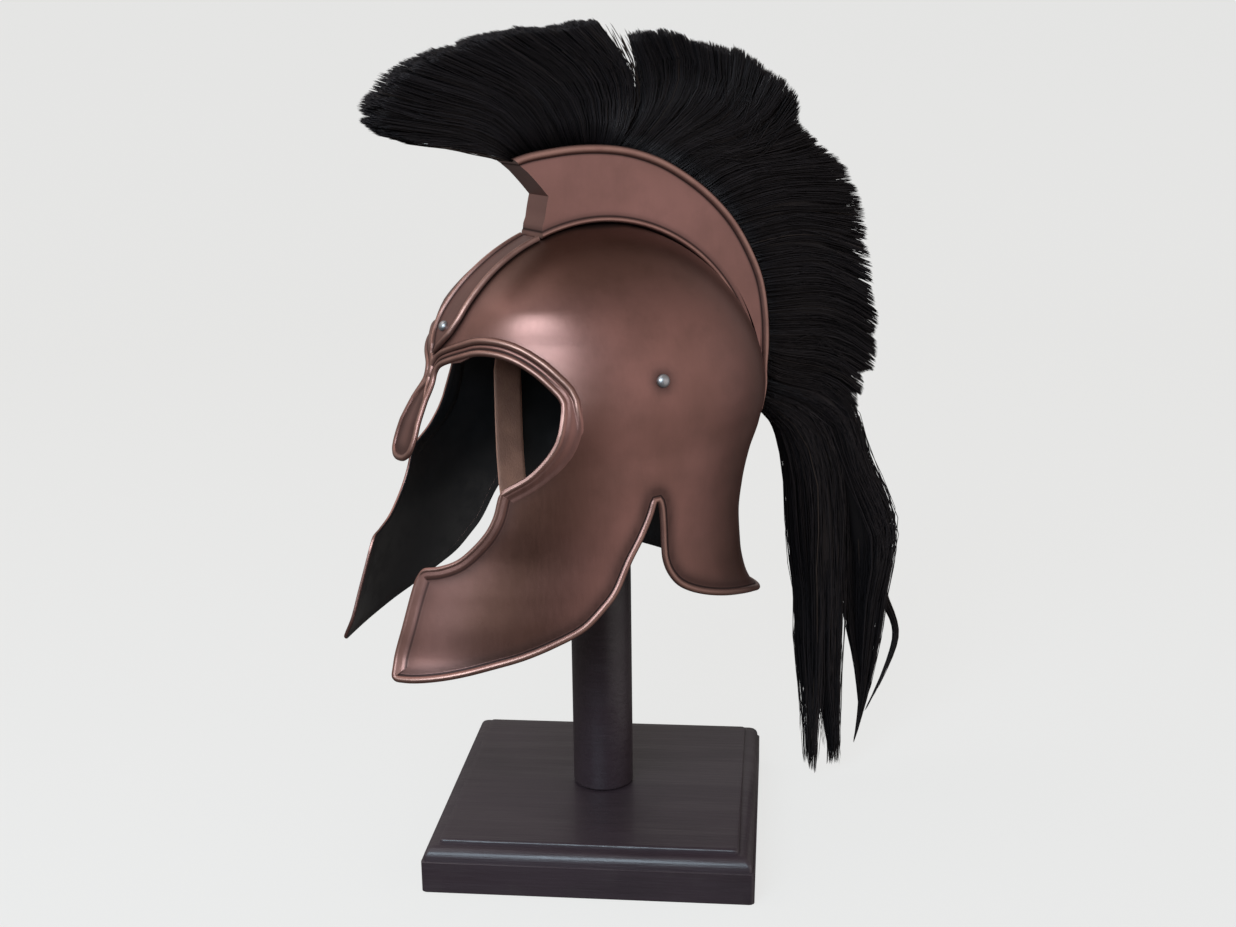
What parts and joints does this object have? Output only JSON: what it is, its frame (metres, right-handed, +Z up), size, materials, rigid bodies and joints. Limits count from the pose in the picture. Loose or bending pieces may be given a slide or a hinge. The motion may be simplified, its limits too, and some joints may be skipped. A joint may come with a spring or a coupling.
{
  "type": "greek crested helmet on a stand",
  "caption": "Copper-brown steel helmet with open face, nose guard, long cheek guards and neck guard, a tall black hair crest with a hanging tail, on a plain square post stand.",
  "frame": {"origin": "centre of the stand base's underside, which is also on the post's axis", "axes": "+Z up along the post, the helmet faces -Y, the wearer's left side is +X"},
  "size_m": [0.3324, 0.475, 0.6112],
  "materials": {
    "copper_shell": "satin copper-brown plating, darkened in the grooves and rubbed bright on the rims",
    "copper_crest": "satin copper plating, a little pinker and lighter",
    "rivet_steel": "polished grey steel",
    "strap_leather": "matt brown leather with a fine grain",
    "black_hair": "black horse hair with a faint sheen",
    "stand_wood": "black paint, slightly glossy, with faint brown wear on the edges"
  },
  "bodies": {
    "root": {"helmet_shell": "copper_shell", "crest_box": "copper_crest", "brow_strip": "copper_shell", "brow_rivet": "rivet_steel", "side_rivet_left": "rivet_steel", "side_rivet_right": "rivet_steel", "chin_strap": "strap_leather", "plume_front": "black_hair", "plume_top": "black_hair", "plume_back": "black_hair", "plume_tail": "black_hair", "stand_post": "stand_wood", "stand_base": "stand_wood"}
  },
  "joints": []
}
